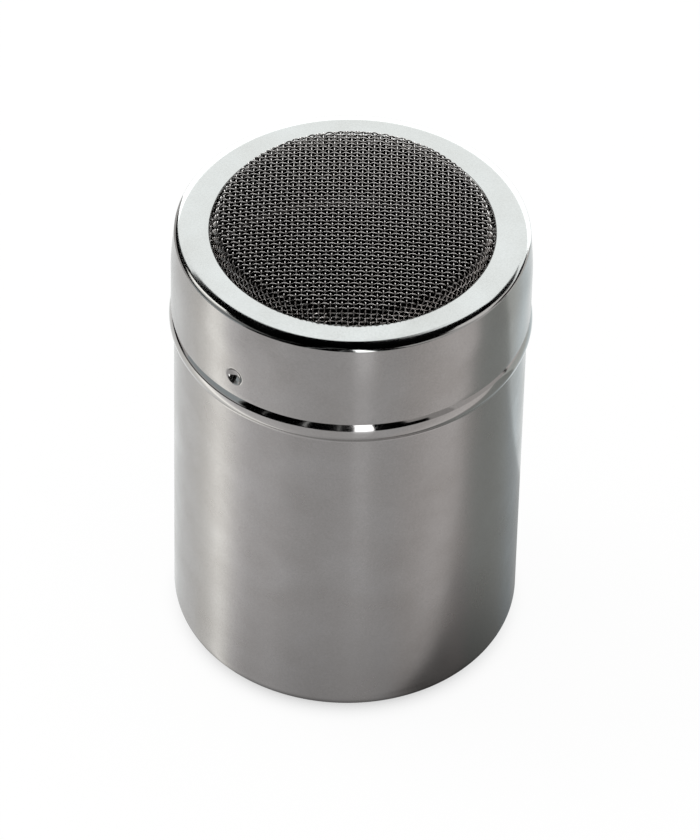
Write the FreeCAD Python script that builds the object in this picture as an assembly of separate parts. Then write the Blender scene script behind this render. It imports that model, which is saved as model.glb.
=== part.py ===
"""Mesh-top spice shaker: a deep-drawn canister, a lift-off lid and a domed woven wire screen.

Units are millimetres and +Z is up. The origin is the centre of the face that the canister
stands on, and every round piece is centred on the Z axis. Each sub-part is written to
parts/NODE.step as one or more closed solids.
"""
import FreeCAD
import Part
import math
import os

# Canister, one cup drawn from sheet
canister_sheet = 0.6
body_radius = 34.4
bottom_corner_radius = 7.0
standing_ring_width = 2.4
base_step_width = 0.8
base_recess_depth = 0.8
bead_foot_height = 74.5
bead_height = 4.6
bead_stand_out = 1.0
neck_inset = 1.3

# Lid shell, one cap drawn from thinner sheet
lid_sheet = 0.5
skirt_clearance = 1.4
skirt_height = 19.03
lid_edge_gap = 0.17
lid_corner_radius = 2.7
top_ring_width = 7.5
lip_bend_radius = 0.4
lip_depth = 1.3

# Pips, two dents pressed in through the skirt that grip the neck
pip_count = 2
pip_first_angle = -128.7
pip_radius = 2.1
pip_height_above_edge = 4.8
pip_clearance = 0.3

# Woven wire screen, pressed to a shallow dome with a flat rim
wire_width = 0.35
weave_pitch = 1.144
wires_per_kept_wire = 2
layer_gap = 0.12
clamp_gap = 0.02
screen_edge_gap = 3.2
dome_rise = 4.2
dome_wall_lean = 0.9
screen_hole_gap = 0.25
crown_flat_half = 8.3
crown_fall = 1.6

# Straight facets that stand for each round stretch of a half section
corner_facets = 4
bead_facets = 3
inner_facets = 2
inner_bead_facets = 1
lip_facets = 2

# Retaining ring, pressed up inside the lid under the screen
ring_sheet = 0.5
ring_skirt_gap = 0.3
ring_flange_depth = 3.5
ring_bend_chamfer = 0.4
ring_hole_step = 0.4
rim_gap = 0.1

# Sizes that follow from the values above
neck_radius = body_radius - neck_inset
bead_middle_height = bead_foot_height + bead_height / 2
bead_arc_radius = (bead_height ** 2 / 4 + bead_stand_out ** 2) / (2 * bead_stand_out)
bead_arc_centre = body_radius + bead_stand_out - bead_arc_radius
skirt_inner_radius = neck_radius + skirt_clearance
lid_radius = skirt_inner_radius + lid_sheet
screen_hole_radius = lid_radius - top_ring_width


def bead_rise(radius, arc_radius):
    """Height of the bead's arc over the bead's middle, at a distance from the axis."""
    return math.sqrt(arc_radius ** 2 - (radius - bead_arc_centre) ** 2)


lid_edge_height = bead_middle_height + bead_rise(skirt_inner_radius, bead_arc_radius) + lid_edge_gap
lid_top = lid_edge_height + skirt_height
lip_foot = lid_top - lip_depth
layer_offset = (wire_width + layer_gap) / 2
screen_half = layer_offset + wire_width / 2
screen_rim_height = lip_foot - clamp_gap - screen_half
dome_foot_radius = screen_hole_radius - screen_hole_gap - screen_half
dome_shoulder_radius = dome_foot_radius - dome_wall_lean
screen_radius = skirt_inner_radius - screen_edge_gap
crown_top = lid_top + dome_rise
ring_top = screen_rim_height - screen_half - clamp_gap
ring_under = ring_top - ring_sheet
ring_radius = skirt_inner_radius - ring_skirt_gap
canister_rim = ring_under - rim_gap
wire_pitch = weave_pitch * wires_per_kept_wire


def place(radius, height):
    """A point of a round piece's half section, in the XZ plane."""
    return FreeCAD.Vector(radius, 0, height)


def run(*corners):
    """Straight edges through half-section corners, each a (radius, height) pair."""
    points = [place(*corner) for corner in corners]
    return [Part.LineSegment(a, b).toShape() for a, b in zip(points, points[1:])]


def arc(centre, radius, first_degrees, last_degrees, facets):
    """A round stretch of the half section about a centre, between two angles from +X, in even facets."""
    corners = []
    for number in range(facets + 1):
        angle = math.radians(first_degrees + (last_degrees - first_degrees) * number / facets)
        corners.append((centre[0] + radius * math.cos(angle), centre[1] + radius * math.sin(angle)))
    return run(*corners)


def spin(edges):
    """The solid that a closed half section sweeps in one turn about Z."""
    wire = Part.Wire(Part.__sortEdges__(edges))
    axis = FreeCAD.Vector(0, 0, 1)
    return Part.Face(wire).revolve(FreeCAD.Vector(0, 0, 0), axis, 360)


def bead_arc(arc_radius, wall_radius, neck_wall_radius, facets):
    """The bead's rounded edge, from the body wall up to its crest and from there in to the neck."""
    centre = (bead_arc_centre, bead_middle_height)
    low = -math.degrees(math.acos((wall_radius - bead_arc_centre) / arc_radius))
    high = math.degrees(math.acos((neck_wall_radius - bead_arc_centre) / arc_radius))
    return arc(centre, arc_radius, low, 0, facets) + arc(centre, arc_radius, 0, high, facets)


def canister():
    """The cup: stepped base, round bottom corner, straight wall, raised bead and thin neck."""
    corner = (body_radius - bottom_corner_radius, bottom_corner_radius)
    step_outer = corner[0] - standing_ring_width
    step_inner = step_outer - base_step_width
    inner_wall = body_radius - canister_sheet
    inner_neck = neck_radius - canister_sheet
    inner_bead_radius = bead_arc_radius - canister_sheet
    neck_start = bead_middle_height + bead_rise(neck_radius, bead_arc_radius)
    inner_neck_start = bead_middle_height + bead_rise(inner_neck, inner_bead_radius)
    inner_wall_top = bead_middle_height - bead_rise(inner_wall, inner_bead_radius)
    floor = canister_sheet
    raised_floor = base_recess_depth + canister_sheet
    edges = run((0, base_recess_depth), (step_inner, base_recess_depth), (step_outer, 0), (corner[0], 0))
    edges += arc(corner, bottom_corner_radius, -90, 0, corner_facets)
    edges += run((body_radius, corner[1]), (body_radius, bead_foot_height))
    edges += bead_arc(bead_arc_radius, body_radius, neck_radius, bead_facets)
    edges += run((neck_radius, neck_start), (neck_radius, canister_rim), (inner_neck, canister_rim),
                 (inner_neck, inner_neck_start))
    edges += bead_arc(inner_bead_radius, inner_wall, inner_neck, inner_bead_facets)
    edges += run((inner_wall, inner_wall_top), (inner_wall, corner[1]))
    edges += arc(corner, bottom_corner_radius - canister_sheet, -90, 0, inner_facets)
    edges += run((corner[0], floor), (step_outer, floor), (step_inner, raised_floor), (0, raised_floor),
                 (0, base_recess_depth))
    return spin(edges)


def lid_cap():
    """The lid before its pips: skirt, round corner, flat ring and the lip turned down at the hole."""
    corner = (lid_radius - lid_corner_radius, lid_top - lid_corner_radius)
    bend = (screen_hole_radius + lip_bend_radius, lid_top - lip_bend_radius)
    underside = lid_top - lid_sheet
    lip_back = screen_hole_radius + lid_sheet
    edges = run((lid_radius, lid_edge_height), (lid_radius, corner[1]))
    edges += arc(corner, lid_corner_radius, 0, 90, corner_facets)
    edges += run((corner[0], lid_top), (bend[0], lid_top))
    edges += arc(bend, lip_bend_radius, 90, 180, lip_facets)
    edges += run((screen_hole_radius, bend[1]), (screen_hole_radius, lip_foot), (lip_back, lip_foot),
                 (lip_back, underside), (corner[0], underside))
    edges += arc(corner, lid_corner_radius - lid_sheet, 0, 90, inner_facets)
    edges += run((skirt_inner_radius, corner[1]), (skirt_inner_radius, lid_edge_height),
                 (lid_radius, lid_edge_height))
    return spin(edges)


def lid_shell():
    """The lid cap with its pips, each a ball-shaped dent whose inner skin nearly meets the neck."""
    shell = lid_cap()
    skirt_space = Part.makeCylinder(lid_radius - lid_sheet / 2, skirt_height, place(0, lid_edge_height))
    ball_reach = neck_radius + pip_clearance + lid_sheet + pip_radius
    for number in range(pip_count):
        angle = math.radians(pip_first_angle + number * 360 / pip_count)
        centre = FreeCAD.Vector(ball_reach * math.cos(angle), ball_reach * math.sin(angle),
                                lid_edge_height + pip_height_above_edge)
        bulge = Part.makeSphere(pip_radius + lid_sheet, centre).common(skirt_space)
        dent = Part.makeSphere(pip_radius, centre)
        shell = shell.fuse(bulge).cut(dent)
    return shell.removeSplitter()


def retaining_ring():
    """The angle-section ring that presses the screen's flat rim up against the lid's lip."""
    inner = dome_foot_radius + ring_hole_step
    foot = ring_top - ring_flange_depth
    flange_inner = ring_radius - ring_sheet
    return spin(run((inner, ring_top), (ring_radius - ring_bend_chamfer, ring_top),
                    (ring_radius, ring_top - ring_bend_chamfer), (ring_radius, foot), (flange_inner, foot),
                    (flange_inner, ring_under), (inner, ring_under), (inner, ring_top)))


def mitred(point, before, after, offset):
    """A path corner moved sideways so that both of its runs shift by the same offset."""
    normals = []
    for start, end in ((before, point), (point, after)):
        length = math.hypot(end[0] - start[0], end[1] - start[1])
        normals.append(((start[1] - end[1]) / length, (end[0] - start[0]) / length))
    (ax, az), (bx, bz) = normals
    scale = offset / (1 + ax * bx + az * bz)
    return point[0] + scale * (ax + bx), point[1] + scale * (az + bz)


def shifted(path, offset):
    """A whole path moved sideways by an offset, with its ends cut square."""
    first = (2 * path[0][0] - path[1][0], 2 * path[0][1] - path[1][1])
    last = (2 * path[-1][0] - path[-2][0], 2 * path[-1][1] - path[-2][1])
    padded = [first] + path + [last]
    return [mitred(padded[i], padded[i - 1], padded[i + 1], offset) for i in range(1, len(padded) - 1)]


def crown_drop(distance):
    """How far the crown has fallen at a distance across it: flat in the middle, then sloping."""
    slope = crown_fall / (dome_shoulder_radius - crown_flat_half)
    return slope * max(0, abs(distance) - crown_flat_half)


def layer_profile(offset):
    """Radii and heights of a wire layer's rim edge, dome foot and shoulder, and its crown height."""
    rim = (screen_radius, screen_rim_height)
    foot = (dome_foot_radius, screen_rim_height)
    shoulder = (dome_shoulder_radius, crown_top - crown_fall)
    middle = (crown_flat_half, crown_top)
    foot_moved = mitred(foot, shoulder, rim, offset)
    shoulder_moved = mitred(shoulder, middle, foot, offset)
    return (screen_radius, screen_rim_height + offset), foot_moved, shoulder_moved, crown_top + offset


def wire_path(across, offset):
    """Half of one wire's bent path, from its end to its middle, at a distance from the axis."""
    rim, foot, shoulder, top = layer_profile(offset)
    distance = abs(across)
    path = [(math.sqrt(rim[0] ** 2 - distance ** 2), rim[1])]
    if distance >= foot[0]:
        return path
    foot_reach = math.sqrt(foot[0] ** 2 - distance ** 2)
    path.append((foot_reach, foot[1]))
    if distance >= shoulder[0]:
        for reach in (foot_reach / 2, 0):
            part_way = (foot[0] - math.hypot(reach, distance)) / (foot[0] - shoulder[0])
            path.append((reach, foot[1] + part_way * (shoulder[1] - foot[1])))
        return path
    shoulder_reach = math.sqrt(shoulder[0] ** 2 - distance ** 2)
    path.append((shoulder_reach, top - crown_drop(distance) - crown_drop(shoulder_reach)))
    if shoulder_reach > crown_flat_half:
        path.append((crown_flat_half, top - crown_drop(distance)))
    return path


def wire(across, offset, along_x):
    """One wire of square section, bent in its own upright plane and mirrored about its middle."""
    half = wire_path(across, offset)
    mirrored = [(-reach, height) for reach, height in half if reach > 0]
    path = mirrored + half[::-1]
    outline = shifted(path, wire_width / 2) + shifted(path, -wire_width / 2)[::-1]
    side = across - wire_width / 2
    if along_x:
        corners = [FreeCAD.Vector(reach, side, height) for reach, height in outline]
        depth = FreeCAD.Vector(0, wire_width, 0)
    else:
        corners = [FreeCAD.Vector(side, reach, height) for reach, height in outline]
        depth = FreeCAD.Vector(wire_width, 0, 0)
    return Part.Face(Part.makePolygon(corners + corners[:1])).extrude(depth)


def screen_wires(offset, along_x):
    """Every parallel wire of one direction, half a pitch off the axis to either side."""
    count = math.ceil(screen_radius / wire_pitch)
    wires = []
    for number in range(-count, count):
        across = (number + 0.5) * wire_pitch
        if abs(across) + wire_width < screen_radius:
            wires.append(wire(across, offset, along_x))
    return Part.makeCompound(wires)


def main():
    """Build each sub-part and write it under its node's name."""
    os.makedirs("parts", exist_ok=True)
    pieces = {
        "canister": canister(),
        "lid_shell": lid_shell(),
        "screen_warp_wires": screen_wires(layer_offset, False),
        "screen_weft_wires": screen_wires(-layer_offset, True),
        "retaining_ring": retaining_ring(),
    }
    for name, shape in pieces.items():
        print(name, "solids", len(shape.Solids), "valid", shape.isValid(), "volume", round(shape.Volume, 2))
        shape.exportStep(os.path.join("parts", name + ".step"))


main()
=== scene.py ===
"""Looks of a round steel shaker: a satin canister, a polished lift-off lid and a domed woven wire screen.

Sizes are in millimetres and are turned into metres when a mesh is made. +Z is up, the origin is the
centre of the face that the canister stands on, and -Y is the side that the camera sees in front.
"""

import logging
import math
from dataclasses import dataclass, field
from enum import Enum
from functools import cache

import bpy
import numpy as np
from mathutils import Matrix, Vector


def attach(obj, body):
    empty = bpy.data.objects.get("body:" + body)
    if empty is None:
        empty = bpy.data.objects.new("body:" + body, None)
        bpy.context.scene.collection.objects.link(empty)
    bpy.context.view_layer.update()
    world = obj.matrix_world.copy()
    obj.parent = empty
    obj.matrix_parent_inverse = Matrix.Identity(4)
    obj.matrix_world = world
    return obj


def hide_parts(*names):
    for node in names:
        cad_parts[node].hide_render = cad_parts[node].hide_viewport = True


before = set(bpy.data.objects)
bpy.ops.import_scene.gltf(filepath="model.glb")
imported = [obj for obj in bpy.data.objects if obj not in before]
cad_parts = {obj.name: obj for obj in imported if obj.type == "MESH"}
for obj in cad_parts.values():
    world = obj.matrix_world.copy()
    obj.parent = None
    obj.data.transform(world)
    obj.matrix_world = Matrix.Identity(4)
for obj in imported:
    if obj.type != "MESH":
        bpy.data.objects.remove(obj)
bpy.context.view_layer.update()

LOG = logging.getLogger("shaker")
METRES_PER_MM = 0.001
FULL_TURN = 2 * math.pi
TOUCHING = 1e-6
Colour = tuple[float, float, float]
Corner = tuple[float, float]


class Body(Enum):
    """The moving bodies that pieces ride on."""

    BASE = "base"
    LID = "lid"
    LID_CARRIER = "lid_carrier"


class Surface(Enum):
    """The kinds of steel surface, each with its own finish."""

    SATIN_WALL = "satin_wall"
    POLISHED_BEAD = "polished_bead"
    DRAWN_INSIDE = "drawn_inside"
    STANDING_FACE = "standing_face"
    LID_SKIRT = "lid_skirt"
    LID_TOP = "lid_top"
    LID_INSIDE = "lid_inside"
    RING_PRESSING = "ring_pressing"
    SCREEN_WIRE = "screen_wire"


NOISE_RANGE = (0.3, 0.7)


class Signal:
    """A number that a node tree works out, to be reckoned with like a plain one."""

    def __init__(self, sheet: "NodeSheet", socket: bpy.types.NodeSocket) -> None:
        """Hold an output socket and the sheet that it is on."""
        self.sheet = sheet
        self.socket = socket

    def __add__(self, other: "Number") -> "Signal":
        """This number and another together."""
        return self.sheet.math("ADD", self, other)

    def __sub__(self, other: "Number") -> "Signal":
        """This number less another."""
        return self.sheet.math("SUBTRACT", self, other)

    def __rsub__(self, other: "Number") -> "Signal":
        """Another number less this one."""
        return self.sheet.math("SUBTRACT", other, self)

    def __mul__(self, other: "Number") -> "Signal":
        """This number times another."""
        return self.sheet.math("MULTIPLY", self, other)

    def __truediv__(self, other: "Number") -> "Signal":
        """This number divided by another."""
        return self.sheet.math("DIVIDE", self, other)

    def __rtruediv__(self, other: "Number") -> "Signal":
        """Another number divided by this one."""
        return self.sheet.math("DIVIDE", other, self)

    def ease(self, start: float, end: float) -> "Signal":
        """Nought to one, softly, as this number goes from start to end."""
        ends = (0, 1) if start < end else (1, 0)
        return self.sheet.carry(self, (min(start, end), max(start, end)), ends, "SMOOTHSTEP")

    def spread(self, low: float, high: float) -> "Signal":
        """Stretch a noise so that its useful part runs from low to high."""
        return self.sheet.carry(self, NOISE_RANGE, (low, high), "LINEAR")


Number = Signal | float


class NodeSheet:
    """The node tree of a material or a world, with short ways to add to it."""

    def __init__(self, owner: bpy.types.Material | bpy.types.World) -> None:
        """Start an empty tree in a material or a world."""
        self.owner = owner
        owner.use_nodes = True
        self.tree = owner.node_tree
        self.tree.nodes.clear()

    def add(self, kind: str, inputs: dict[str | int, object] | None = None,
            **settings: object) -> bpy.types.Node:
        """Add a node.

        Args:
            kind: The node's type name, without the ShaderNode prefix.
            inputs: What goes into its inputs, by name or place: a value, a socket or a signal.
            **settings: Node properties by name.

        Returns:
            The new node.
        """
        node = self.tree.nodes.new("ShaderNode" + kind)
        for key, value in settings.items():
            setattr(node, key, value)
        for key, value in (inputs or {}).items():
            source = value.socket if isinstance(value, Signal) else value
            if isinstance(source, bpy.types.NodeSocket):
                self.tree.links.new(source, node.inputs[key])
            else:
                node.inputs[key].default_value = source
        return node

    def close(self, shader: bpy.types.NodeSocket, kind: str = "OutputMaterial") -> bpy.types.Material:
        """Send a shader to an output node and hand over the finished material."""
        self.add(kind, {"Surface": shader})
        return self.owner

    def math(self, operation: str, first: Number, second: Number = 0.0) -> Signal:
        """Work out a Math node's operation on one or two numbers."""
        return Signal(self, self.add("Math", {0: first, 1: second}, operation=operation).outputs["Value"])

    def carry(self, number: Signal, source: tuple[float, float], target: tuple[float, float],
              curve: str = "LINEAR") -> Signal:
        """Carry a number over from its own range to another, held at the ends."""
        ends = {"From Min": source[0], "From Max": source[1], "To Min": target[0], "To Max": target[1]}
        node = self.add("MapRange", {"Value": number, **ends}, interpolation_type=curve)
        return Signal(self, node.outputs["Result"])

    def split(self, vector: bpy.types.NodeSocket) -> list[Signal]:
        """The three parts of a vector."""
        parts = self.add("SeparateXYZ", {"Vector": vector})
        return [Signal(self, parts.outputs[axis]) for axis in "XYZ"]

    def place(self) -> list[Signal]:
        """The shaded place in the object's own coordinates, in millimetres."""
        return [part / METRES_PER_MM for part in self.split(self.add("TexCoord").outputs["Object"])]

    def noise(self, cell: float, detail: float) -> Signal:
        """A noise that follows the object's own coordinates, with its cells' size in millimetres."""
        per_metre = 1 / (cell * METRES_PER_MM)
        place = self.add("TexCoord").outputs["Object"]
        scaled = self.add("VectorMath", {0: place, 1: (per_metre,) * 3}, operation="MULTIPLY")
        texture = self.add("TexNoise", {"Vector": scaled.outputs["Vector"], "Scale": 1, "Detail": detail})
        return Signal(self, texture.outputs["Fac"])

    def shade(self, colour: bpy.types.NodeSocket, level: Signal) -> bpy.types.NodeSocket:
        """Multiply a colour by a level."""
        inputs = {"Factor": 1, "A": colour, "B": level}
        return self.add("Mix", inputs, data_type="RGBA", blend_type="MULTIPLY").outputs["Result"]

    def glow(self, colour: object, strength: Number) -> bpy.types.NodeSocket:
        """An even glow of a colour, or of a colour's socket, at a strength."""
        return self.add("Emission", {"Color": colour, "Strength": strength}).outputs["Emission"]


@dataclass(frozen=True)
class SteelFinish:
    """One steel finish: its colour, its gloss, the soft clouds and fine grain that break them up, and any
    painted shade on sides that don't face up.
    """

    colour: Colour
    roughness: float
    stretch: float = 0.0
    cloud_tint: Colour = (0.94, 0.93, 0.92)
    cloud_size: float = 9.0
    cloud_gloss: float = 0.03
    grain_size: float = 0.42
    grain_share: float = 0.035
    grain_height: float = 0.0004
    # Painted shade: below one, sides that don't face up are darkened down to this share of the colour, high
    # on the dome.
    flank_shade_level: float = 1.0
    flank_shade_facing: tuple[float, float] = (0.97, 0.70)
    flank_shade_heights: tuple[float, float] = (98.6, 100.4)

    def material(self, name: str) -> bpy.types.Material:
        """Make the finish's material under a name."""
        sheet = NodeSheet(bpy.data.materials.new(name))
        cloud = sheet.noise(self.cloud_size, 3)
        grain = sheet.noise(self.grain_size, 2)
        tinted = (*(part * tint for part, tint in zip(self.colour, self.cloud_tint)), 1)
        clouded = sheet.add("Mix", {"Factor": cloud.spread(0, 1), "A": (*self.colour, 1), "B": tinted},
                            data_type="RGBA")
        level = grain.spread(1 - self.grain_share, 1 + self.grain_share)
        grained = sheet.shade(clouded.outputs["Result"], level)
        depth = self.grain_height * METRES_PER_MM
        bump = sheet.add("Bump", {"Strength": 1, "Distance": depth, "Height": grain})
        gloss = cloud.spread(self.roughness - self.cloud_gloss, self.roughness + self.cloud_gloss)
        steel = {"Metallic": 1, "Base Color": self.paint_flank_shade(sheet, grained), "Roughness": gloss,
                 "Normal": bump.outputs["Normal"]}
        if self.stretch:
            around = sheet.add("Tangent", direction_type="RADIAL", axis="Z")
            steel |= {"Anisotropic": self.stretch, "Anisotropic Rotation": QUARTER_TURN_SHARE,
                      "Tangent": around.outputs["Tangent"]}
        return sheet.close(sheet.add("BsdfPrincipled", steel).outputs["BSDF"])

    def paint_flank_shade(self, sheet: NodeSheet, colour: bpy.types.NodeSocket) -> bpy.types.NodeSocket:
        """Paint shade onto the sides that don't face up, high on the dome: a darker colour that stands in for
        the shade that the woven wires cast on each other.
        """
        if self.flank_shade_level == 1:
            return colour
        facing = sheet.split(sheet.add("NewGeometry").outputs["Normal"])[2]
        height = sheet.place()[2]
        painted_shade = facing.ease(*self.flank_shade_facing) * (1 - self.flank_shade_level) * height.ease(*self.flank_shade_heights)
        return sheet.shade(colour, 1 - painted_shade)


QUARTER_TURN_SHARE = 0.25

FINISHES: dict[Surface, SteelFinish] = {
    Surface.SATIN_WALL: SteelFinish((0.56, 0.553, 0.55), 0.25, stretch=0.75),
    Surface.POLISHED_BEAD: SteelFinish((0.60, 0.595, 0.59), 0.08, grain_height=0.0002),
    Surface.DRAWN_INSIDE: SteelFinish((0.20, 0.197, 0.194), 0.44),
    Surface.STANDING_FACE: SteelFinish((0.52, 0.515, 0.51), 0.40),
    Surface.LID_SKIRT: SteelFinish((0.56, 0.553, 0.548), 0.23, stretch=0.75),
    Surface.LID_TOP: SteelFinish((0.61, 0.622, 0.618), 0.09, grain_height=0.0002),
    Surface.LID_INSIDE: SteelFinish((0.42, 0.415, 0.41), 0.40),
    Surface.RING_PRESSING: SteelFinish((0.42, 0.415, 0.41), 0.34),
    # The wires get painted shade on their sides that don't face up.
    Surface.SCREEN_WIRE: SteelFinish((0.74, 0.715, 0.70), 0.09, cloud_gloss=0.01, grain_height=0.0,
                                     flank_shade_level=0.22),
}


@cache
def finish_material(surface: Surface) -> bpy.types.Material:
    """The material of a kind of surface, made when first asked for."""
    return FINISHES[surface].material(surface.value)


@dataclass
class HalfSection:
    """A round piece's half section, drawn corner by corner, with a surface for each stretch."""

    hold: float = 0.05
    shortest_held: float = 4.0
    corners: list[Corner] = field(default_factory=list)
    surfaces: list[Surface] = field(default_factory=list)

    def go(self, radius: float, height: float, surface: Surface) -> "HalfSection":
        """Draw a straight stretch, with a holding corner just inside each end so that bends stay crisp.

        Args:
            radius: Distance of its end from the axis.
            height: Height of its end.
            surface: The stretch's surface.

        Returns:
            The half section itself.
        """
        if self.corners:
            start = self.corners[-1]
            length = math.dist(start, (radius, height))
            if length > self.shortest_held * self.hold:
                for share in (self.hold / length, 1 - self.hold / length):
                    self.put((start[0] + share * (radius - start[0]),
                              start[1] + share * (height - start[1])), surface)
        self.put((radius, height), surface)
        return self

    def bend(self, centre: Corner, size: float, first: float, last: float, surface: Surface,
             steps: int = 12) -> "HalfSection":
        """Draw a round stretch about a centre.

        Args:
            centre: Radius and height of the bend's centre.
            size: The bend's radius.
            first: Angle of its start, in degrees from straight out.
            last: Angle of its end.
            surface: The stretch's surface.
            steps: How many runs stand for it.

        Returns:
            The half section itself.
        """
        for number in range(steps + 1):
            angle = math.radians(first + (last - first) * number / steps)
            corner = (centre[0] + size * math.cos(angle), centre[1] + size * math.sin(angle))
            if number == 0:
                self.go(*corner, surface)
            else:
                self.put(corner, surface)
        return self

    def put(self, corner: Corner, surface: Surface) -> None:
        """Add a corner unless it repeats the last one."""
        if not self.corners or math.dist(self.corners[-1], corner) > TOUCHING:
            self.corners.append(corner)
            self.surfaces.append(surface)


class RoundMesh:
    """Turns a half section about the Z axis into a closed mesh with smooth faces and crisp edges."""

    crisp_angle = math.radians(38)

    def __init__(self, section: HalfSection, angles: np.ndarray) -> None:
        """Lay out the rows of vertices.

        Args:
            section: A half section that is closed, or that starts and ends on the axis.
            angles: Angles of the columns round the axis, in radians.
        """
        self.section = section
        self.angles = angles
        self.closed = math.dist(section.corners[0], section.corners[-1]) < TOUCHING
        rows = np.array(section.corners[:-1] if self.closed else section.corners)
        self.radii = np.repeat(rows[:, :1], len(angles), axis=1)
        self.heights = np.repeat(rows[:, 1:], len(angles), axis=1)

    def make(self, name: str) -> bpy.types.Object:
        """Build the object under a name."""
        rows, columns = self.radii.shape
        places = np.stack([self.radii * np.cos(self.angles), self.radii * np.sin(self.angles), self.heights],
                          axis=-1)
        ids = np.arange(rows * columns).reshape(rows, columns)
        keep = np.ones(rows * columns, bool)
        for row in (0, rows - 1):
            if not self.closed and self.section.corners[row][0] == 0:
                ids[row] = ids[row, 0]
                keep[row * columns + 1:(row + 1) * columns] = False
        renumbered = np.cumsum(keep) - 1
        ids = renumbered[ids]
        used = list(dict.fromkeys(self.section.surfaces[1:]))
        faces: list[tuple[int, ...]] = []
        slots: list[int] = []
        last_row = rows if self.closed else rows - 1
        for row in range(last_row):
            after = (row + 1) % rows
            slot = used.index(self.section.surfaces[row + 1])
            for column in range(columns):
                beside = (column + 1) % columns
                loop = (ids[row, column], ids[row, beside], ids[after, beside], ids[after, column])
                faces.append(tuple(int(v) for v in dict.fromkeys(loop)))
                slots.append(slot)
        coats = [finish_material(surface) for surface in used]
        made = make_piece(name, places.reshape(-1, 3)[keep], faces, coats, self.crisp_angle)
        made.data.polygons.foreach_set("material_index", slots)
        made.data.validate()
        return made


def make_piece(name: str, places: np.ndarray | list[tuple[float, float, float]], faces: list,
               coats: list[bpy.types.Material], crisp_angle: float | None = None) -> bpy.types.Object:
    """Make a mesh and put it into the scene as an object.

    Args:
        name: The object's name.
        places: Its corners, in millimetres.
        faces: The corners of each face.
        coats: Its materials.
        crisp_angle: Where smoothed faces meet at more than this, in radians, the edge stays crisp; none
            leaves the faces flat.

    Returns:
        The new object.
    """
    mesh = bpy.data.meshes.new(name)
    mesh.from_pydata((np.asarray(places) * METRES_PER_MM).tolist(), [], faces)
    for coat in coats:
        mesh.materials.append(coat)
    if crisp_angle is not None:
        mesh.polygons.foreach_set("use_smooth", [True] * len(faces))
        mesh.set_sharp_from_angle(angle=crisp_angle)
    made = bpy.data.objects.new(name, mesh)
    bpy.context.scene.collection.objects.link(made)
    return made


def level_ring(radius: float, height: float, count: int = 96) -> list[tuple[float, float, float]]:
    """Places evenly spaced on a level circle about the axis."""
    return [(math.cos(angle) * radius, math.sin(angle) * radius, height) for angle in even_angles(count)]


def even_angles(count: int) -> np.ndarray:
    """Angles of evenly spaced columns round the axis, in radians."""
    return np.arange(count) * FULL_TURN / count


@dataclass
class Canister:
    """The drawn cup: stepped base, round bottom corner, satin wall, polished bead and neck."""

    sheet: float = 0.6
    wall_radius: float = 34.4
    bottom_bend: float = 5.6
    standing_ring_width: float = 3.8
    base_step_width: float = 0.8
    base_recess: float = 0.8
    bead_foot: float = 74.5
    bead_height: float = 4.6
    bead_stand_out: float = 0.98
    bead_fillet: float = 1.2
    neck_radius: float = 33.1
    rim: float = 95.44
    columns: int = 320

    def section(self) -> HalfSection:
        """The cup's half section, from the middle of its underside round to the middle of its floor."""
        middle = self.bead_foot + self.bead_height / 2
        bend = (self.bead_height ** 2 / 4 + self.bead_stand_out ** 2) / (2 * self.bead_stand_out)
        centre = (self.wall_radius + self.bead_stand_out - bend, middle)
        fillet = self.bead_fillet
        low = -math.degrees(math.acos((self.wall_radius + fillet - centre[0]) / (bend + fillet)))
        nook = (self.wall_radius + fillet, middle + (bend + fillet) * math.sin(math.radians(low)))
        high = math.degrees(math.acos((self.neck_radius - centre[0]) / bend))
        inner_bend = bend - self.sheet
        inner_wall = self.wall_radius - self.sheet
        inner_neck = self.neck_radius - self.sheet
        inner_low = -math.degrees(math.acos((inner_wall - centre[0]) / inner_bend))
        inner_high = math.degrees(math.acos((inner_neck - centre[0]) / inner_bend))
        corner = (self.wall_radius - self.bottom_bend, self.bottom_bend)
        step_outer = corner[0] - self.standing_ring_width
        step_inner = step_outer - self.base_step_width
        under, wall = Surface.STANDING_FACE, Surface.SATIN_WALL
        bead, inside = Surface.POLISHED_BEAD, Surface.DRAWN_INSIDE
        half_sheet = self.sheet / 2
        drawn = HalfSection()
        drawn.go(0, self.base_recess, under).go(step_inner, self.base_recess, under)
        drawn.go(step_outer, 0, under).go(corner[0], 0, under)
        drawn.bend(corner, self.bottom_bend, -90, 0, wall, 24)
        drawn.go(self.wall_radius, nook[1], wall)
        drawn.bend(nook, fillet, 180, 180 + low, bead, 8)
        drawn.bend(centre, bend, low, high, bead, 28)
        drawn.go(self.neck_radius, self.rim - half_sheet, bead)
        drawn.bend((self.neck_radius - half_sheet, self.rim - half_sheet), half_sheet, 0, 180, inside, 8)
        drawn.bend(centre, inner_bend, inner_high, inner_low, inside, 16)
        drawn.bend(corner, self.bottom_bend - self.sheet, 0, -90, inside, 16)
        drawn.go(step_outer, self.sheet, inside).go(step_inner, self.base_recess + self.sheet, inside)
        drawn.go(0, self.base_recess + self.sheet, inside)
        return drawn

    def build(self) -> bpy.types.Object:
        """Make the canister in place of its node."""
        piece = RoundMesh(self.section(), even_angles(self.columns)).make("canister_cup")
        return seat(piece, "canister", Body.BASE)


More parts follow.
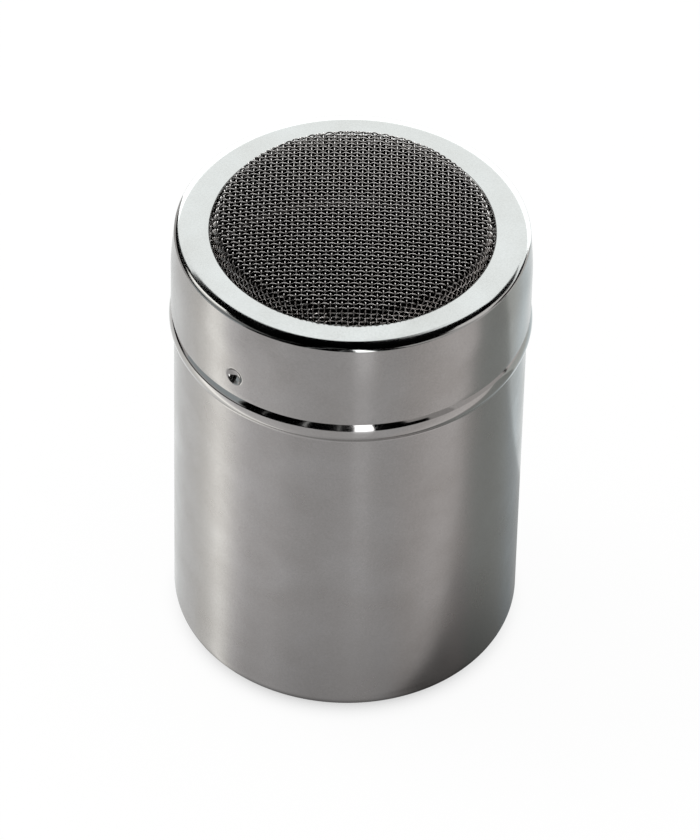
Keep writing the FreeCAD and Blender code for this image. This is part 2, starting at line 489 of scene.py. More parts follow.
@dataclass
class LidShell:
    """The drawn lid: skirt with two pressed pips, round corner, flat top ring and rolled-down lip."""

    sheet: float = 0.5
    radius: float = 35.0
    edge: float = 79.17
    top: float = 98.2
    corner_width: float = 2.35
    corner_drop: float = 0.8
    polish_turn: float = 78.0
    lean: float = 5.3
    lean_foot: float = 88.5
    lean_bend: float = 54.0
    lean_steps: int = 8
    roll_steps: int = 30
    hole_radius: float = 27.5
    lip_bend: float = 0.4
    lip_depth: float = 1.3
    edge_bend: float = 0.12
    pip_angles: tuple[float, ...] = (-128.9, 51.1)
    pip_height: float = 4.8
    pip_ball: float = 2.1
    pip_ball_centre: float = 36.0
    pip_blend: float = 0.12
    pip_zone: float = 3.6
    pip_polish: float = 2.0
    fine_step: float = 0.14
    columns: int = 288

    def section(self) -> HalfSection:
        """The lid's half section, from the outer edge of its skirt round to the same corner."""
        inner = self.radius - self.sheet
        lip = (self.hole_radius + self.lip_bend, self.top - self.lip_bend)
        lip_foot = self.top - self.lip_depth
        lip_back = self.hole_radius + self.sheet
        under = self.top - self.sheet
        small = self.edge_bend
        skirt, top, inside = Surface.LID_SKIRT, Surface.LID_TOP, Surface.LID_INSIDE
        drawn = HalfSection()
        drawn.bend((self.radius - small, self.edge + small), small, -90, 0, skirt, 4)
        self.fine_rows(drawn, self.radius, True, skirt)
        for corner, surface in self.shoulder(0.0):
            drawn.put(corner, surface)
        drawn.bend(lip, self.lip_bend, 90, 180, top, 12)
        drawn.go(self.hole_radius, lip_foot, top)
        drawn.go(lip_back, lip_foot, inside).go(lip_back, under, inside)
        for corner, _ in reversed(self.shoulder(self.sheet)):
            drawn.put(corner, inside)
        self.fine_rows(drawn, inner, False, inside)
        drawn.bend((inner + small, self.edge + small), small, 180, 270, skirt, 4)
        drawn.go(self.radius - small, self.edge, skirt)
        return drawn

    def shoulder(self, depth: float) -> list[tuple[Corner, Surface]]:
        """The lid's shoulder from the wall up: a faint inward lean, a quick turn and a wider roll to the top.

        Args:
            depth: How far the skin lies inside the outer one.

        Returns:
            The skin's corners, each with its surface.
        """
        lean = math.radians(self.lean)
        found = []
        for number in range(self.lean_steps + 1):
            turn = lean * number / self.lean_steps
            found.append((self.radius - depth - self.lean_bend * (1 - math.cos(turn)),
                          self.lean_foot + self.lean_bend * math.sin(turn)))
        wide, high = self.corner_width - depth, self.corner_drop - depth
        middle = self.top - self.corner_drop
        over_width, over_height = self.roll(wide, high, 90 - self.lean)
        inset = (middle + over_height - found[-1][1]) * math.tan(lean)
        centre = found[-1][0] - inset - over_width
        turned = [(corner, Surface.LID_SKIRT) for corner in found]
        for number in range(self.roll_steps + 1):
            turn = (90 - self.lean) * (1 - number / self.roll_steps)
            over_width, over_height = self.roll(wide, high, turn)
            surface = Surface.LID_SKIRT if turn > self.polish_turn else Surface.LID_TOP
            turned.append(((centre + over_width, middle + over_height), surface))
        return turned

    @staticmethod
    def roll(wide: float, high: float, turn: float) -> Corner:
        """How far out and up from its middle an oval's face has turned by some degrees from straight up."""
        out, up = wide * math.sin(math.radians(turn)), high * math.cos(math.radians(turn))
        size = math.hypot(out, up)
        return wide * out / size, high * up / size

    def fine_rows(self, drawn: HalfSection, radius: float, upward: bool, surface: Surface) -> None:
        """Add closely spaced rows to the skirt where the pips are pressed in.

        Args:
            drawn: The half section being drawn.
            radius: The skin's radius.
            upward: True if the skin is drawn from the edge up.
            surface: The skin's surface.
        """
        middle = self.edge + self.pip_height
        count = round(2 * self.pip_zone / self.fine_step)
        heights = [middle - self.pip_zone + number * self.fine_step for number in range(count + 1)]
        for height in heights if upward else reversed(heights):
            drawn.put((radius, height), surface)

    def column_angles(self) -> np.ndarray:
        """Angles of the columns: even all round, and closely spaced across each pip."""
        fine = self.fine_step / self.radius
        reach = self.pip_zone / self.radius
        angles = list(even_angles(self.columns))
        for pip in self.pip_angles:
            middle = math.radians(pip) % FULL_TURN
            angles = [a for a in angles if abs((a - middle + math.pi) % FULL_TURN - math.pi) > reach + fine]
            count = round(2 * reach / fine)
            steps = np.linspace(middle - reach, middle + reach, count + 1)
            angles += list(steps % FULL_TURN)
        return np.array(sorted(angles))

    def press_pips(self, turned: RoundMesh) -> None:
        """Push the skirt's skins in over each pip, each by a ball with a softly rounded rim.

        Args:
            turned: The lid's mesh rows, which are moved.
        """
        for pip in self.pip_angles:
            around = (turned.angles - math.radians(pip) + math.pi) % FULL_TURN - math.pi
            for depth_in in (0, self.sheet):
                skin, ball = self.radius - depth_in, self.pip_ball + depth_in
                on_skin = np.abs(turned.radii[:, 0] - skin) < TOUCHING
                rows = on_skin & (turned.heights[:, 0] < self.edge + self.pip_height + self.pip_zone)
                across = around[None, :] * skin
                up = turned.heights[rows] - self.edge - self.pip_height
                away = np.hypot(across, up)
                level = np.sqrt(np.maximum(ball ** 2 - away ** 2, 0)) - (self.pip_ball_centre - skin)
                level -= np.maximum(away - ball, 0)
                depth = (level + np.sqrt(level ** 2 + self.pip_blend ** 2)) / 2
                fade = np.clip((self.pip_zone - away) / (self.pip_zone - ball), 0, 1)
                turned.radii[rows] -= depth * fade * fade * (3 - 2 * fade)

    def polish_pips(self, piece: bpy.types.Object) -> None:
        """Give the inside of each pip the bright finish that its punch left."""
        piece.data.materials.append(finish_material(Surface.POLISHED_BEAD))
        height = self.edge + self.pip_height
        for pip in self.pip_angles:
            turn = math.radians(pip)
            place = (math.cos(turn) * self.radius, math.sin(turn) * self.radius, height)
            middle = Vector(place) * METRES_PER_MM
            for face in piece.data.polygons:
                if (face.center - middle).length < self.pip_polish * METRES_PER_MM:
                    face.material_index = len(piece.data.materials) - 1

    def build(self) -> bpy.types.Object:
        """Make the lid shell in place of its node."""
        turned = RoundMesh(self.section(), self.column_angles())
        self.press_pips(turned)
        piece = turned.make("lid_cap")
        self.polish_pips(piece)
        return seat(piece, "lid_shell", Body.LID)


@dataclass
class RetainingRing:
    """The angle-section ring inside the lid that holds the screen's rim up against the lip."""

    sheet: float = 0.5
    inner_radius: float = 27.26
    radius: float = 33.95
    top: float = 96.04
    flange_depth: float = 3.5
    bend: float = 0.7
    columns: int = 256

    def section(self) -> HalfSection:
        """The ring's half section, from the top of its hole round to the same corner."""
        steel = Surface.RING_PRESSING
        foot = self.top - self.flange_depth
        centre = (self.radius - self.bend, self.top - self.bend)
        drawn = HalfSection()
        drawn.go(self.inner_radius, self.top, steel)
        drawn.bend(centre, self.bend, 90, 0, steel, 8)
        drawn.go(self.radius, foot, steel).go(self.radius - self.sheet, foot, steel)
        drawn.bend(centre, self.bend - self.sheet, 0, 90, steel, 4)
        drawn.go(self.inner_radius, self.top - self.sheet, steel)
        drawn.go(self.inner_radius, self.top, steel)
        return drawn

    def build(self) -> bpy.types.Object:
        """Make the retaining ring in place of its node."""
        piece = RoundMesh(self.section(), even_angles(self.columns)).make("screen_retaining_ring")
        return seat(piece, "retaining_ring", Body.LID_CARRIER)


@dataclass
class WovenScreen:
    """Plain-woven wire cloth pressed to a shallow dome with a steep wall and a flat, clamped rim."""

    wire: float = 0.31
    weave_lift: float = 0.175
    warp_pitch: float = 1.11
    weft_pitch: float = 1.03
    crown_top: float = 102.4
    crown_bend: float = 185.0
    crown_steps: int = 60
    shoulder: Corner = (26.0, 100.57)
    foot: Corner = (26.88, 96.47)
    lean_back: float = 0.016
    shoulder_bend: float = 1.4
    foot_bend: float = 0.8
    rim_radius: float = 31.1
    net_reach: int = 72
    net_steps: int = 8
    net_nudge: float = 1e-4
    least_spread: float = 0.05
    longest_move: float = 0.2
    fewest_points: int = 4
    sides: int = 8
    table_step: float = 0.02
    crisp_angle: float = math.radians(60)

    def profile(self) -> np.ndarray:
        """The dome's middle surface in half section, as rows of arc length, radius and height."""
        crown = [(r, self.crown_top - r * r / (2 * self.crown_bend))
                 for r in np.linspace(0, self.shoulder[0], self.crown_steps)]
        rough = crown + [self.foot, (2 * self.foot[0], self.foot[1])]
        drawn: list[Corner] = [rough[0]]
        bends = {self.crown_steps - 1: self.shoulder_bend, self.crown_steps: self.foot_bend}
        for number in range(1, len(rough) - 1):
            bend = bends.get(number)
            if bend is None:
                drawn.append(rough[number])
            else:
                drawn = round_off(drawn, rough[number], rough[number + 1], bend)
        drawn.append(rough[-1])
        corners = np.array(drawn)
        lengths = np.concatenate([[0], np.cumsum(np.hypot(*np.diff(corners, axis=0).T))])
        even = np.arange(0, lengths[-1], self.table_step)
        return np.stack([even, *(np.interp(even, lengths, column) for column in corners.T)])

    def place(self, table: np.ndarray, flat: np.ndarray) -> np.ndarray:
        """Where points of the flat cloth lie on the dome.

        Args:
            table: The dome's profile.
            flat: Points as distances along two directions over the surface.

        Returns:
            Their places in space.
        """
        reach = np.maximum(np.hypot(flat[..., 0], flat[..., 1]), 1e-9)
        radius = np.interp(reach, table[0], table[1])
        height = np.interp(reach, table[0], table[2])
        risen = np.clip((height - self.foot[1]) / (self.shoulder[1] - self.foot[1]), 0, 1)
        height = height + risen * self.lean_back * flat[..., 1] / reach * radius
        return np.stack([flat[..., 0] / reach * radius, flat[..., 1] / reach * radius, height], axis=-1)

    def outward(self, table: np.ndarray, flat: np.ndarray) -> np.ndarray:
        """Directions square to the dome at points of the flat cloth."""
        reach = np.maximum(np.hypot(flat[..., 0], flat[..., 1]), 1e-9)
        slope = np.gradient(table[2], table[0])
        run = np.gradient(table[1], table[0])
        fall = np.interp(reach, table[0], slope)
        level = np.interp(reach, table[0], run)
        normal = np.stack([-fall * flat[..., 0] / reach, -fall * flat[..., 1] / reach, level], axis=-1)
        return normal / np.linalg.norm(normal, axis=-1, keepdims=True)

    def net(self, table: np.ndarray) -> np.ndarray:
        """One quarter of the cloth's net: every cell keeps its wires' length while it shears over the dome.

        Args:
            table: The dome's profile.

        Returns:
            The flat coordinates of each node, half a pitch apart along both wires.
        """
        count = self.net_reach + 1
        links = (self.warp_pitch / 2, self.weft_pitch / 2)
        nodes = np.zeros((count, count, 2))
        nodes[:, 0, 0] = np.arange(count) * links[0]
        nodes[0, :, 1] = np.arange(count) * links[1]
        for total in range(2, 2 * count - 1):
            i = np.arange(max(1, total - count + 1), min(count, total))
            j = total - i
            left, below = nodes[i - 1, j], nodes[i, j - 1]
            guess = left + below - nodes[i - 1, j - 1]
            first, second = self.place(table, left), self.place(table, below)
            for _ in range(self.net_steps):
                guess = self.step(table, guess, first, second, links)
            nodes[i, j] = guess
        return nodes

    def step(self, table: np.ndarray, guess: np.ndarray, first: np.ndarray, second: np.ndarray,
             links: tuple[float, float]) -> np.ndarray:
        """One Newton step towards the points that lie one link from each of two neighbours."""
        nudge, least = self.net_nudge, self.least_spread

        def misfit(flat: np.ndarray) -> np.ndarray:
            """How far each point is from lying one link away from both neighbours."""
            place = self.place(table, flat)
            return np.stack([np.linalg.norm(place - first, axis=-1) - links[0],
                             np.linalg.norm(place - second, axis=-1) - links[1]], axis=-1)

        here = misfit(guess)
        along_a = (misfit(guess + (nudge, 0)) - here) / nudge
        along_b = (misfit(guess + (0, nudge)) - here) / nudge
        spread = along_a[:, 0] * along_b[:, 1] - along_a[:, 1] * along_b[:, 0]
        spread = np.where(np.abs(spread) < least, np.copysign(least, spread), spread)
        move_a = (here[:, 0] * along_b[:, 1] - here[:, 1] * along_b[:, 0]) / spread
        move_b = (along_a[:, 0] * here[:, 1] - along_a[:, 1] * here[:, 0]) / spread
        return guess - np.clip(np.stack([move_a, move_b], axis=-1), -self.longest_move, self.longest_move)

    def wire_flat(self, nodes: np.ndarray, number: int, warp: bool) -> tuple[np.ndarray, np.ndarray]:
        """The flat line of one wire, from end to end, with twice as many points as the net.

        Args:
            nodes: The quarter net.
            number: The wire's odd place in the net, negative on the other side of the middle.
            warp: True for a wire that runs front to back.

        Returns:
            The line's flat points, and its place along the wire in half pitches.
        """
        half = nodes[abs(number)] if warp else nodes[:, abs(number)]
        flip = np.array([1.0, -1.0]) if warp else np.array([-1.0, 1.0])
        line = np.concatenate([(half * flip)[:0:-1], half])
        line = line * ((np.sign(number), 1) if warp else (1, np.sign(number)))
        steps = np.arange(len(line)) - (len(half) - 1.0)
        before, after = line[:-1], line[1:]
        outer_before = np.concatenate([line[:1], line[:-2]])
        outer_after = np.concatenate([line[2:], line[-1:]])
        # A middle between two points lies on the cubic through the four nearest ones.
        middles = (9 * (before + after) - outer_before - outer_after) / 16
        fine = np.empty((2 * len(line) - 1, 2))
        fine[::2], fine[1::2] = line, middles
        fine_steps = np.linspace(steps[0], steps[-1], len(fine))
        return fine, fine_steps

    def wires(self, warp: bool) -> tuple[list[np.ndarray], list[np.ndarray]]:
        """Centre lines of one direction's wires, and the directions that point out of the dome along them."""
        table = self.profile()
        nodes = self.net(table)
        lines, normals = [], []
        for number in range(1 - self.net_reach, self.net_reach, 2):
            flat, steps = self.wire_flat(nodes, number, warp)
            place = self.place(table, flat)
            inside = np.flatnonzero(np.hypot(place[:, 0], place[:, 1]) < self.rim_radius)
            if len(inside) < self.fewest_points:
                continue
            kept = slice(inside[0], inside[-1] + 1)
            normal = self.outward(table, flat[kept])
            way = (1 if warp else -1) * math.sin(math.pi * number / 2)
            lift = way * self.weave_lift * np.sin(math.pi * steps[kept] / 2)
            lines.append(place[kept] + lift[:, None] * normal)
            normals.append(normal)
        return lines, normals

    def tubes(self, name: str, warp: bool) -> bpy.types.Object:
        """Make one direction's wires, front to back if warp is true, as round tubes with closed ends."""
        turn = (np.arange(self.sides) + 0.5) * FULL_TURN / self.sides
        places, faces = [], []
        start = 0
        for line, normal in zip(*self.wires(warp)):
            along = np.gradient(line, axis=0)
            along /= np.linalg.norm(along, axis=1, keepdims=True)
            side = np.cross(along, normal)
            side /= np.linalg.norm(side, axis=1, keepdims=True)
            up = np.cross(side, along)
            ring = (np.cos(turn)[None, :, None] * side[:, None] + np.sin(turn)[None, :, None] * up[:, None])
            places.append((line[:, None] + ring * self.wire / 2).reshape(-1, 3))
            ids = start + np.arange(len(line) * self.sides).reshape(len(line), self.sides)
            beside = np.roll(ids, -1, axis=1)
            walls = np.stack([ids[:-1], beside[:-1], beside[1:], ids[1:]], axis=-1).reshape(-1, 4)
            faces += walls.tolist()
            faces += [ids[0, ::-1].tolist(), ids[-1].tolist()]
            start += ids.size
        coats = [finish_material(Surface.SCREEN_WIRE)]
        return make_piece(name, np.concatenate(places), faces, coats, self.crisp_angle)

    def build(self) -> list[bpy.types.Object]:
        """Make both directions of wires in place of their nodes."""
        return [seat(self.tubes("screen_warp", True), "screen_warp_wires", Body.LID),
                seat(self.tubes("screen_weft", False), "screen_weft_wires", Body.LID)]


def round_off(drawn: list[Corner], corner: Corner, after: Corner, bend: float,
              steps: int = 12) -> list[Corner]:
    """Replace a corner of a line by an arc that touches both of its runs.

    Args:
        drawn: The line so far, without the corner.
        corner: The corner.
        after: The point that follows it.
        bend: The arc's radius.
        steps: How many runs stand for the arc.

    Returns:
        The line up to the arc's end.
    """
    here = np.array(corner)
    into = here - np.array(drawn[-1])
    into /= np.linalg.norm(into)
    out = np.array(after) - here
    out /= np.linalg.norm(out)
    turn = math.acos(float(np.clip(into @ out, -1, 1)))
    reach = bend * math.tan(turn / 2)
    start = here - into * reach
    kept = [p for p in drawn if (here - np.array(p)) @ into > reach]
    left = into[0] * out[1] - into[1] * out[0] > 0
    square = np.array([-into[1], into[0]]) * (1 if left else -1)
    centre = start + square * bend
    arm = start - centre
    for number in range(steps + 1):
        angle = turn * number / steps * (1 if left else -1)
        kept.append((centre[0] + arm[0] * math.cos(angle) - arm[1] * math.sin(angle),
                     centre[1] + arm[0] * math.sin(angle) + arm[1] * math.cos(angle)))
    return kept


def seat(piece: bpy.types.Object, node: str, body: Body) -> bpy.types.Object:
    """Let a piece stand for a node, whose own part is hidden, and ride on a body."""
    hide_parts(node)
    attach(piece, body.value)
    LOG.info("%s rides on %s with %d faces", piece.name, body.value, len(piece.data.polygons))
    return piece


NEUTRAL: Colour = (1.0, 1.0, 0.99)
OLIVE: Colour = (0.98, 1.02, 0.98)
CREAM: Colour = (1.0, 0.985, 0.945)
PINKISH: Colour = (1.0, 0.98, 0.978)
BEIGE: Colour = (1.0, 0.955, 0.935)
PALE_BLUE: Colour = (0.98, 1.0, 1.0)
SKY_BLUE: Colour = (0.91, 1.0, 1.03)
BLACK: Colour = (0.0, 0.0, 0.0)


@dataclass
class Card:
    """A studio card that only reflections show, standing on part of a sphere round the object."""

    name: str
    colour: Colour
    strength: float
    azimuths: tuple[float, float]
    elevations: tuple[float, float]
    distance: float = 900.0
    facets: int = 24

    def build(self) -> bpy.types.Object:
        """Make the card as a curved mesh with an emission material."""
        around = np.radians(np.linspace(*self.azimuths, self.facets))
        up = np.radians(np.linspace(*self.elevations, self.facets))
        level, turn = np.meshgrid(up, around, indexing="ij")
        flat = self.distance * np.cos(level)
        places = np.stack([np.sin(turn) * flat, -np.cos(turn) * flat, self.distance * np.sin(level)], axis=-1)
        ids = np.arange(self.facets ** 2).reshape(self.facets, self.facets)
        faces = np.stack([ids[:-1, :-1], ids[:-1, 1:], ids[1:, 1:], ids[1:, :-1]], axis=-1).reshape(-1, 4)
        sheet = NodeSheet(bpy.data.materials.new(self.name))
        coat = sheet.close(sheet.glow((*self.colour, 1), self.strength))
        return reflection_only(make_piece(self.name, places.reshape(-1, 3), faces.tolist(), [coat]))


@dataclass
class TableGlow:
    """The lit table top as the steel mirrors it: bright behind and to the left, with a long soft shadow.

    Directions are those that the upright wall mirrors, in degrees from straight in front, + to the right.
    """

    inner: float = 31.0
    outer: float = 900.0
    height: float = 0.3
    wall_radius: float = 35.0
    turn_steps: int = 3
    stops: tuple[tuple[float, float, Colour], ...] = (
        (-180, 1.15, PALE_BLUE), (-164, 1.12, PALE_BLUE), (-150, 0.88, PALE_BLUE), (-138, 0.77, NEUTRAL),
        (-124, 0.74, NEUTRAL), (-112, 0.77, CREAM), (-103, 0.93, CREAM), (-93, 1.44, CREAM),
        (-86, 1.10, CREAM), (-79, 0.80, PINKISH), (-68, 0.61, PINKISH), (-50, 0.575, PINKISH),
        (-34, 0.48, PINKISH), (-18, 0.445, PINKISH), (6, 0.45, PINKISH), (28, 0.43, PINKISH),
        (44, 0.47, BEIGE), (62, 0.57, BEIGE),
        (76, 0.62, BEIGE), (84, 0.57, BEIGE), (92, 0.49, OLIVE), (104, 0.48, OLIVE), (112, 0.50, OLIVE),
        (124, 0.55, OLIVE), (136, 0.70, SKY_BLUE), (148, 0.81, SKY_BLUE), (160, 0.98, PALE_BLUE),
        (180, 1.15, PALE_BLUE),
    )
    shadow_middle: float = 0.5
    shadow_half: float = 36.5
    shadow_spread: float = 0.012
    shadow_onset: tuple[float, float] = (5.0, 19.0)
    shadow_level: float = 0.56
    shadow_core: float = 0.33
    clear_start: float = 0.18
    clear_right: float = 0.017
    clear_front: float = 0.011
    # Painted shade in the glow near the object's foot.
    near_reach: tuple[float, float] = (78.0, 38.0)
    near_loss: float = 0.07
    ahead_turn: tuple[float, float] = (-125.0, -88.0)
    ahead_loss: float = 0.17
    under_reach: tuple[float, float] = (32.5, 35.5)
    under_level: float = 0.35
    left_edge: float = 236.0
    left_slope: float = 0.1
    left_fade: float = 12.0
    sill_edge: float = 300.0
    sill_end: float = 430.0
    front_edge: float = 486.0
    front_slope: float = 0.32
    front_fade: float = 20.0
    dark_end: float = 45.0
    window: tuple[float, float] = (-110.0, -62.0)
    window_soft: float = 3.0
    window_level: float = 0.42
    strip: tuple[float, float] = (3.5, 14.0)
    strip_soft: float = 1.5
    strip_level: float = 2.3
    glints: tuple[tuple[float, float, float], ...] = ((60.0, 95.0, 0.025), (120.0, 460.0, 0.22))
    far_colour: Colour = (0.98, 0.99, 1.0)

    def build(self) -> bpy.types.Object:
        """Make the glow as a flat ring that only reflections show."""
        inner, outer = (level_ring(radius, self.height) for radius in (self.inner, self.outer))
        count = len(inner)
        faces = [(i, count + i, count + (i + 1) % count, (i + 1) % count) for i in range(count)]
        return reflection_only(make_piece("table_glow", inner + outer, faces, [self.material()]))

    def material(self) -> bpy.types.Material:
        """The glow's colour by direction, darkened by the shadow and changed beyond the paper's edges."""
        sheet = NodeSheet(bpy.data.materials.new("table_glow"))
        right, back, _ = sheet.place()
        front = back * -1.0
        reach = sheet.math("SQRT", right * right + front * front)
        turn = self.mirrored_turn(sheet, right, front, reach)
        # Painted shade: the glow darkens near the object's foot, less towards the back left, and most just
        # under its rim.
        ahead = turn.ease(*self.ahead_turn) * self.ahead_loss + self.near_loss
        near = 1 - reach.ease(*self.near_reach) * ahead
        under = reach.ease(*self.under_reach) * (1 - self.under_level) + self.under_level
        table = self.shade(sheet, right, front) * near * under
        beyond = self.beyond(sheet, right, front, turn)
        strip = self.band(turn, self.strip, self.strip_soft) * self.strip_level
        sill = self.leftward(right, front).ease(self.sill_edge, self.sill_end)
        window = self.band(turn, self.window, self.window_soft) * self.window_level * sill
        near_glint, far_glint = (reach.ease(start, end) * level for start, end, level in self.glints)
        kept = 1 - beyond
        far = (strip + window) * beyond + strip * (near_glint + far_glint) * kept
        floor_glow = sheet.glow(self.colour_by_direction(sheet, turn), table * kept)
        both = sheet.add("AddShader", {0: floor_glow, 1: sheet.glow((*self.far_colour, 1), far)})
        return sheet.close(both.outputs["Shader"])

    def colour_by_direction(self, sheet: NodeSheet, turn: Signal) -> bpy.types.NodeSocket:
        """The stops' colours, blended from one direction to the next."""
        ramp = sheet.add("ValToRGB", {"Fac": turn / 360 + 0.5})
        elements = ramp.color_ramp.elements
        elements[0].position, elements[1].position = 0, 1
        for azimuth, level, tint in self.stops:
            share = azimuth / 360 + 0.5
            element = elements[0] if share == 0 else elements[-1] if share == 1 else elements.new(share)
            element.color = (*(level * part for part in tint), 1)
        return ramp.outputs["Color"]

    def mirrored_turn(self, sheet: NodeSheet, right: Signal, front: Signal, reach: Signal) -> Signal:
        """The direction in which the upright wall mirrors each place on the table.

        Args:
            sheet: The node tree.
            right: The place's distance to the right.
            front: Its distance to the front.
            reach: Its distance from the axis.

        Returns:
            The direction, in degrees.
        """
        compass = sheet.math("ARCTAN2", right, front)
        share = self.wall_radius / reach
        turn = compass
        for _ in range(self.turn_steps):
            turn = compass + sheet.math("ARCSINE", share * sheet.math("SINE", turn * 0.5))
        return turn * math.degrees(1)

    def shade(self, sheet: NodeSheet, right: Signal, front: Signal) -> Signal:
        """The object's long shadow to the right, darkest beside its front, as a level up to one."""
        aside = sheet.math("ABSOLUTE", front - self.shadow_middle) - self.shadow_half
        across = (aside / (right * self.shadow_spread + 1)).ease(1, -1)
        away = right * self.clear_right - front * self.clear_front + self.clear_start
        clear = sheet.math("MINIMUM", sheet.math("MAXIMUM", away, self.shadow_core), 1.0)
        return 1 - across * right.ease(*self.shadow_onset) * (1 - clear * self.shadow_level)

    def leftward(self, right: Signal, front: Signal) -> Signal:
        """How far a place lies towards the paper's left edge."""
        return front * self.left_slope - right

    def beyond(self, sheet: NodeSheet, right: Signal, front: Signal, turn: Signal) -> Signal:
        """One beyond the paper's left and front edges, and nought on the paper and to the right of it."""
        left = self.leftward(right, front).ease(self.left_edge, self.left_edge + self.left_fade)
        ahead = (front - right * self.front_slope).ease(self.front_edge, self.front_edge + self.front_fade)
        return sheet.math("MAXIMUM", left, ahead) * turn.ease(self.dark_end + 1, self.dark_end - 1)

    @staticmethod
    def band(turn: Signal, ends: tuple[float, float], soft: float) -> Signal:
        """One between two directions, eased to nought outside them."""
        return turn.ease(ends[0] - soft, ends[0] + soft) * turn.ease(ends[1] + soft, ends[1] - soft)


def reflection_only(made: bpy.types.Object) -> bpy.types.Object:
    """Stage an object so that only reflections show it, and it throws no light or shadow."""
    made.visible_camera = False
    made.visible_diffuse = False
    made.visible_shadow = False
    made.visible_transmission = False
    return made


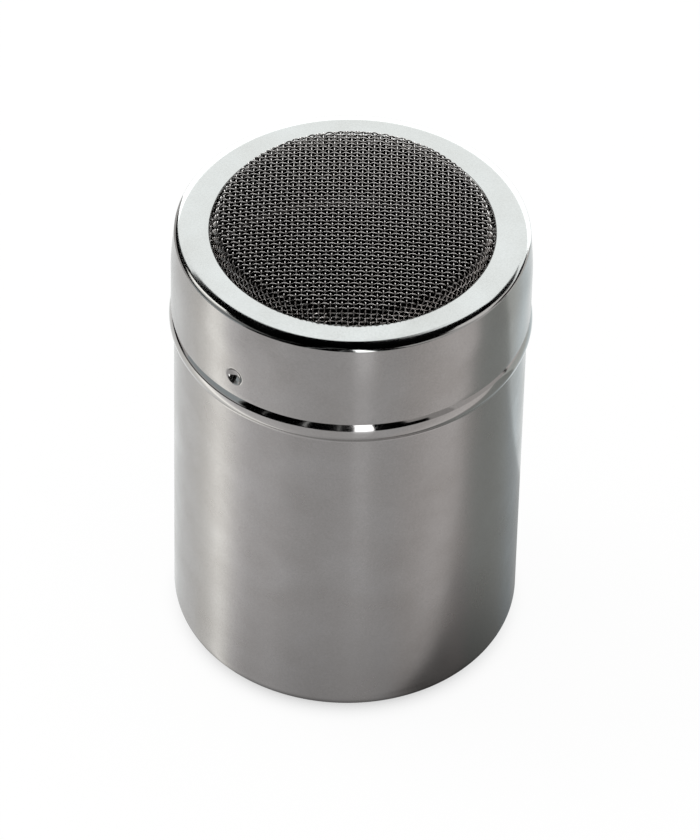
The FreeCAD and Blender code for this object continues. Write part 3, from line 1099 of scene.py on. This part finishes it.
@dataclass
class Studio:
    """The plain pale floor, the soft light and the cards that the steel mirrors."""

    floor_radius: float = 4000.0
    floor_colour: Colour = (0.92, 0.92, 0.92)
    floor_glow: float = 0.94
    contact_reach: float = 5.0
    contact_depth: float = 0.55
    contact_fade: float = 3.0
    sky_level: float = 0.95
    key_watts: float = 9.0
    key_size: float = 0.9
    key_colour: Colour = (1.0, 0.985, 0.96)
    key_place: tuple[float, float, float] = (-0.9, 0.35, 1.5)
    cards: tuple[Card, ...] = (
        Card("ceiling_flag", BLACK, 0.0, (-180, 180), (50.4, 90), 900),
        Card("front_flag", BLACK, 0.0, (-62, 33), (0, 54), 905),
        Card("left_wall", BEIGE, 0.50, (-150, -104), (0, 27), 900),
        Card("left_flag", BLACK, 0.0, (-150, -97), (26, 54), 904),
        Card("left_sill", SKY_BLUE, 0.38, (-104, -62), (0, 30), 896),
        Card("left_dim", NEUTRAL, 0.13, (-84, -62), (30, 62), 894),
        Card("window_frame", NEUTRAL, 0.22, (-97, -84), (30, 62), 892),
        Card("window_low", NEUTRAL, 0.32, (-117, -97), (42, 61), 882),
        Card("window_middle", CREAM, 0.95, (-127, -114), (43, 61), 880),
        Card("window_high", CREAM, 1.65, (-137, -126), (46, 61), 878),
        Card("right_wall", BEIGE, 0.44, (33, 97), (0, 60), 895),
        Card("right_dim", BEIGE, 0.31, (33, 60), (0, 34), 893),
        Card("right_low_dark", BLACK, 0.0, (33, 45), (0, 20), 891),
        Card("right_gap", BLACK, 0.0, (97, 99.5), (0, 54), 896),
        Card("right_pale_wall", BEIGE, 0.60, (99.5, 118), (0, 54), 897),
        Card("right_low_wall", BEIGE, 0.62, (116, 133), (0, 31), 898),
        Card("right_flag", BLACK, 0.0, (103, 138), (31, 44), 886),
        Card("right_high", BEIGE, 0.72, (92, 130), (44, 66), 884),
        Card("right_notch", BLACK, 0.0, (101, 120), (33, 47.5), 882),
        Card("right_shade", BLACK, 0.0, (132, 154.5), (47.7, 51), 888),
        Card("tall_strip", (1.0, 0.99, 0.99), 2.3, (3.5, 14.0), (0, 77), 870),
        Card("grey_line_a", NEUTRAL, 0.15, (-62.8, -61.2), (0, 75), 872),
        Card("grey_line_b", NEUTRAL, 0.14, (-47.6, -46.6), (0, 70), 872),
        Card("grey_line_c", NEUTRAL, 0.30, (-24.5, -22.5), (0, 78), 872),
        Card("grey_line_d", NEUTRAL, 0.22, (-5.6, -4.2), (0, 70), 872),
        Card("overhead_rail", NEUTRAL, 0.06, (-90, -8), (84, 88), 880),
        Card("sweep_low", PALE_BLUE, 2.1, (133, 210), (0, 37), 905),
        Card("sweep_high", (0.975, 1.0, 0.995), 1.29, (133, 210), (36.9, 50.6), 905),
        Card("sweep_corner", (0.975, 1.0, 0.995), 1.29, (158, 175), (50.5, 54.5), 890),
    )

    def build(self) -> None:
        """Make the floor, the sky, the key lamp and the cards."""
        self.floor()
        self.sky()
        self.key_lamp()
        TableGlow().build()
        for card in self.cards:
            card.build()

    def floor(self) -> None:
        """Make the floor as a wide disc, shaded for the camera where the object stands on it."""
        sheet = NodeSheet(bpy.data.materials.new("floor"))
        paper = sheet.add("BsdfDiffuse", {"Color": (*self.floor_colour, 1)})
        around = sheet.add("AmbientOcclusion", {"Distance": self.contact_reach * METRES_PER_MM}, samples=8)
        hidden = sheet.math("POWER", 1 - Signal(sheet, around.outputs["AO"]), self.contact_fade)
        white = sheet.glow((1, 1, 1, 1), 1 - hidden * self.contact_depth)
        share = Signal(sheet, sheet.add("LightPath").outputs["Is Camera Ray"]) * self.floor_glow
        both = sheet.add("MixShader", {"Fac": share, 1: paper.outputs["BSDF"], 2: white})
        rim = level_ring(self.floor_radius, 0)
        make_piece("floor", rim, [tuple(range(len(rim)))], [sheet.close(both.outputs["Shader"])])

    def sky(self) -> None:
        """Make an even white sky, which the camera, metal and glass see at full strength."""
        sheet = NodeSheet(bpy.data.worlds.new("soft_sky"))
        bpy.context.scene.world = sheet.owner
        path = sheet.add("LightPath")
        rays = ("Is Camera Ray", "Is Glossy Ray", "Is Transmission Ray")
        camera, glossy, passed = (Signal(sheet, path.outputs[ray]) for ray in rays)
        level = sheet.carry(camera + glossy + passed, (0, 1), (self.sky_level, 1))
        glow = sheet.add("Background", {"Color": (1, 1, 1, 1), "Strength": level})
        sheet.close(glow.outputs["Background"], "OutputWorld")

    def key_lamp(self) -> None:
        """Hang one large soft lamp up on the left, behind the object."""
        lamp = bpy.data.lights.new("key_lamp", "AREA")
        lamp.shape = "DISK"
        lamp.size = self.key_size
        lamp.energy = self.key_watts
        lamp.color = self.key_colour
        made = bpy.data.objects.new("key_lamp", lamp)
        bpy.context.scene.collection.objects.link(made)
        made.location = self.key_place
        made.rotation_mode = "QUATERNION"
        made.rotation_quaternion = Vector(made.location).to_track_quat("Z", "Y")
        made.visible_camera = False
        made.visible_glossy = False


@dataclass
class PhotoCamera:
    """The camera at the photograph's place: from above and in front, with a slight roll."""

    focal_pixels: float = 6533.65
    frame_height: int = 840
    sensor: float = 36.0
    elevation: float = 0.750
    roll: float = 0.023
    target_height: float = 45.0
    aside: float = 0.386
    aloft: float = 2.186
    distance: float = 1292.9
    clip: tuple[float, float] = (0.05, 50.0)

    def build(self) -> bpy.types.Object:
        """Make the camera and give it to the scene."""
        data = bpy.data.cameras.new("photo_camera")
        data.sensor_width = self.sensor
        data.lens = self.focal_pixels / self.frame_height * self.sensor
        data.clip_start, data.clip_end = self.clip
        made = bpy.data.objects.new("photo_camera", data)
        bpy.context.scene.collection.objects.link(made)
        tilt = Matrix.Rotation(math.pi / 2 - self.elevation, 3, "X") @ Matrix.Rotation(self.roll, 3, "Z")
        shift = tilt @ Vector((self.aside, self.aloft, self.distance))
        place = (Vector((0, 0, self.target_height)) + shift) * METRES_PER_MM
        made.matrix_world = Matrix.Translation(place) @ tilt.to_4x4()
        bpy.context.scene.camera = made
        return made


def main() -> None:
    """Build the camera, the studio and every sub-assembly in order."""
    logging.basicConfig(level=logging.INFO, format="%(name)s: %(message)s")
    bpy.context.scene.view_settings.view_transform = "Standard"
    for part in (PhotoCamera(), Studio(), Canister(), LidShell(), RetainingRing(), WovenScreen()):
        part.build()


if __name__ == "__main__":
    main()
